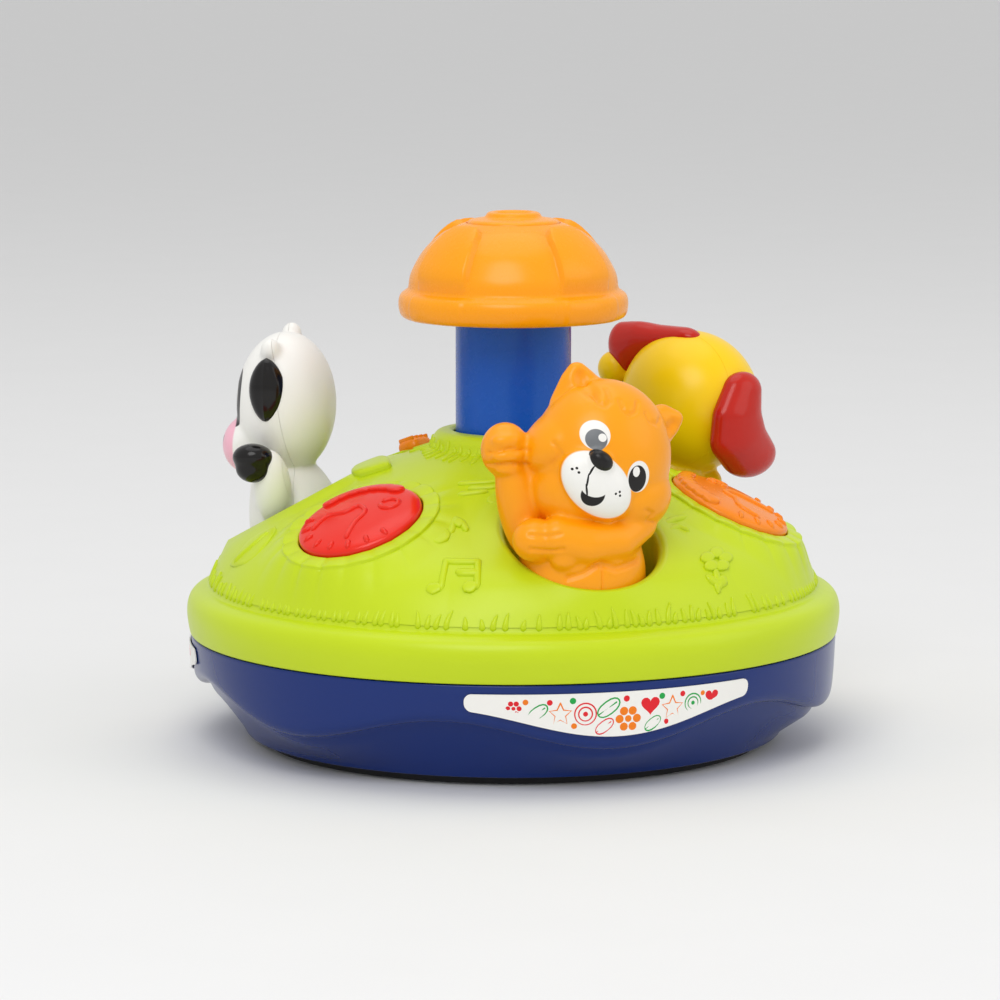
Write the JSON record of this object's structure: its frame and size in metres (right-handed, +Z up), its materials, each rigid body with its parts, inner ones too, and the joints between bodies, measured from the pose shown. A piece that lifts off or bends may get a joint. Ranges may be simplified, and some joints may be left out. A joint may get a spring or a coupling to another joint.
{
  "type": "musical spinning top",
  "caption": "Press-to-spin baby activity top: mushroom cap on a column, round green and blue body on a hidden foot, three animal figures in wells, light-up press buttons and a slide switch.",
  "frame": {"origin": "on the floor under the centre of the foot", "axes": "+Z up along the column; the bear figure looks along -Y"},
  "size_m": [0.216, 0.216, 0.174],
  "materials": {
    "orange_plastic": "glossy moulded plastic",
    "blue_plastic": "glossy moulded plastic",
    "lime_plastic": "glossy moulded plastic",
    "red_plastic": "glossy moulded plastic",
    "purple_plastic": "glossy moulded plastic",
    "white_plastic": "glossy moulded plastic",
    "yellow_plastic": "glossy moulded plastic",
    "natural_nylon": "plain",
    "grey_plastic": "plain",
    "label_film": "glossy moulded plastic",
    "rubber": "plain",
    "steel": "plain",
    "cell_sleeve": "plain",
    "board_green": "plain",
    "black_plastic": "plain"
  },
  "bodies": {
    "foot": {"foot_plate": "grey_plastic", "foot_grip_ring": "rubber", "centre_post": "grey_plastic", "post_screw": "steel", "thrust_ring": "natural_nylon", "stop_washer": "steel", "stop_screw": "steel", "return_spring": "steel"},
    "plunger": {"cap_shell": "orange_plastic", "cap_crown": "orange_plastic", "cap_underside": "orange_plastic", "column": "blue_plastic", "drive_helix": "natural_nylon", "cap_screw_1": "steel", "cap_screw_2": "steel", "cap_screw_3": "steel"},
    "drive_nut": {"drive_nut": "natural_nylon"},
    "rotor": {"dome_cover": "lime_plastic", "base_shell": "blue_plastic", "label_bear": "label_film", "label_dog": "label_film", "label_cow": "label_film", "clutch_ring": "natural_nylon", "nut_retainer": "grey_plastic", "hub_bush": "natural_nylon", "housing_screw_1": "steel", "housing_screw_2": "steel", "housing_screw_3": "steel", "battery_door": "blue_plastic", "battery_door_screw": "steel", "battery_1": "cell_sleeve", "battery_2": "cell_sleeve", "battery_3": "cell_sleeve", "sound_board": "board_green", "speaker": "black_plastic", "slide_switch": "grey_plastic", "battery_lead": "black_plastic", "speaker_lead": "black_plastic", "orange_pad": "rubber", "purple_pad": "rubber", "red_pad": "rubber", "orange_light_board": "board_green", "purple_light_board": "board_green", "red_light_board": "board_green", "bear_pin": "steel", "dog_pin": "steel", "cow_pin": "steel", "bear_spring": "steel", "dog_spring": "steel", "cow_spring": "steel"},
    "power_slider": {"power_slider": "red_plastic"},
    "orange_button": {"orange_button": "orange_plastic"},
    "purple_button": {"purple_button": "purple_plastic"},
    "red_button": {"red_button": "red_plastic"},
    "bear": {"bear_front": "orange_plastic", "bear_back": "orange_plastic"},
    "dog": {"dog_front": "yellow_plastic", "dog_back": "yellow_plastic"},
    "cow": {"cow_front": "white_plastic", "cow_back": "white_plastic"}
  },
  "joints": [
    {"name": "cap_press", "type": "slide", "parent": "foot", "child": "plunger", "axis": [0, 0, -1], "range_m": [0, 0.022], "stiffness_N_per_m": 180, "springref_m": -0.01, "deforming": ["return_spring"]},
    {"name": "body_spin", "type": "hinge", "parent": "foot", "child": "rotor", "pos_m": [0, 0, 0.01], "axis": [0, 0, -1], "continuous": true},
    {"name": "nut_turn", "type": "hinge", "parent": "foot", "child": "drive_nut", "pos_m": [0, 0, 0.048], "axis": [0, 0, -1], "range_deg": [-1, 160]},
    {"name": "bear_rock", "type": "hinge", "parent": "rotor", "child": "bear", "pos_m": [0, -0.066, 0.045], "axis": [1, 0, 0], "range_deg": [-5, 5], "stiffness_Nm_per_rad": 0.25},
    {"name": "dog_rock", "type": "hinge", "parent": "rotor", "child": "dog", "pos_m": [0.05716, 0.033, 0.045], "axis": [-0.5, 0.866, 0], "range_deg": [-5, 5], "stiffness_Nm_per_rad": 0.25},
    {"name": "cow_rock", "type": "hinge", "parent": "rotor", "child": "cow", "pos_m": [-0.05716, 0.033, 0.045], "axis": [-0.5, -0.866, 0], "range_deg": [-5, 5], "stiffness_Nm_per_rad": 0.25},
    {"name": "orange_press", "type": "slide", "parent": "rotor", "child": "orange_button", "axis": [-0.366, 0.2113, -0.9063], "range_m": [0, 0.002], "stiffness_N_per_m": 800, "springref_m": -0.001, "deforming": ["orange_pad"]},
    {"name": "purple_press", "type": "slide", "parent": "rotor", "child": "purple_button", "axis": [0, -0.4226, -0.9063], "range_m": [0, 0.002], "stiffness_N_per_m": 800, "springref_m": -0.001, "deforming": ["purple_pad"]},
    {"name": "red_press", "type": "slide", "parent": "rotor", "child": "red_button", "axis": [0.366, 0.2113, -0.9063], "range_m": [0, 0.002], "stiffness_N_per_m": 800, "springref_m": -0.001, "deforming": ["red_pad"]},
    {"name": "power_slide", "type": "slide", "parent": "rotor", "child": "power_slider", "axis": [-0.866, -0.5, 0], "range_m": [0, 0.006]}
  ],
  "couplings": [
    {"joint": "nut_turn", "follows": "cap_press", "rad_per_m": 125.66}
  ]
}
